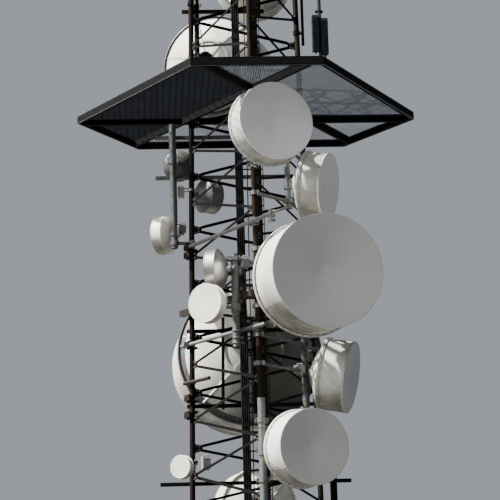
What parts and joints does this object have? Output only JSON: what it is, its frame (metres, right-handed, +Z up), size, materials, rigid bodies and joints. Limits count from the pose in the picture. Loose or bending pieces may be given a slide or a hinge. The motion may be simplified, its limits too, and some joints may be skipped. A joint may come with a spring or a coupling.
{
  "type": "cell tower",
  "caption": "Triangular lattice mast on tubular legs with a cut-cornered work platform, an inner ladder, feeder cables and shrouded dish antennas on pipe brackets.",
  "frame": {"origin": "on the ground, at the mast's axis", "axes": "+Z up along the mast; -Y towards the near leg and the picture's viewpoint; +X to the right"},
  "size_m": [5.58, 5.0733, 13.35],
  "materials": {
    "rusted_leg_left": "rusty, matt",
    "rusted_leg_near": "rusty, matt",
    "mossy_leg_right": "weathered, matt",
    "bracing": "weathered, matt",
    "platform_steel": "matt",
    "grating": "matt",
    "galvanised": "dull",
    "cable_jacket": "satin",
    "dish_shell": "satin",
    "dish_cover": "matt",
    "drum_plastic": "matt",
    "radio_case": "satin"
  },
  "bodies": {
    "root": {"arm_behind_leg": "galvanised", "arm_tiny": "galvanised", "base_frame": "galvanised", "bracing_back_face": "bracing", "bracing_left_face": "bracing", "bracing_right_face": "bracing", "cover_big": "dish_cover", "cover_bottom": "dish_cover", "cover_lower_front": "dish_cover", "cover_lower_right": "dish_cover", "cover_rear_large": "dish_cover", "cover_top_front": "dish_cover", "cover_top_left": "dish_cover", "cover_top_rear": "dish_cover", "cover_upper_right": "dish_cover", "deck_back": "grating", "deck_left": "grating", "deck_left_front": "grating", "deck_near": "grating", "deck_right": "grating", "deck_right_front": "grating", "dish_behind_leg": "drum_plastic", "dish_big": "dish_shell", "dish_bottom": "dish_shell", "dish_far_left": "drum_plastic", "dish_left_small": "drum_plastic", "dish_lower_front": "dish_shell", "dish_lower_right": "dish_shell", "dish_mid_small": "drum_plastic", "dish_rear_large": "dish_shell", "dish_tiny": "drum_plastic", "dish_top_front": "dish_shell", "dish_top_left": "dish_shell", "dish_top_rear": "dish_shell", "dish_upper_right": "dish_shell", "dish_white_small": "drum_plastic", "feeders_left": "cable_jacket", "feeders_right": "cable_jacket", "ladder": "bracing", "ladder_stays": "bracing", "leg_left": "rusted_leg_left", "leg_near": "rusted_leg_near", "leg_right": "mossy_leg_right", "mount_big": "galvanised", "mount_bottom": "bracing", "mount_far_left": "galvanised", "mount_lower_front": "galvanised", "mount_lower_right": "galvanised", "mount_mid": "galvanised", "mount_rear_large": "bracing", "mount_top_front": "galvanised", "mount_top_left": "bracing", "mount_top_rear": "bracing", "mount_upper_right": "galvanised", "platform_beams": "platform_steel", "platform_rim": "platform_steel", "radio_stand": "radio_case", "side_pole": "bracing", "strut_upper": "galvanised", "struts_lower": "galvanised"}
  },
  "joints": []
}
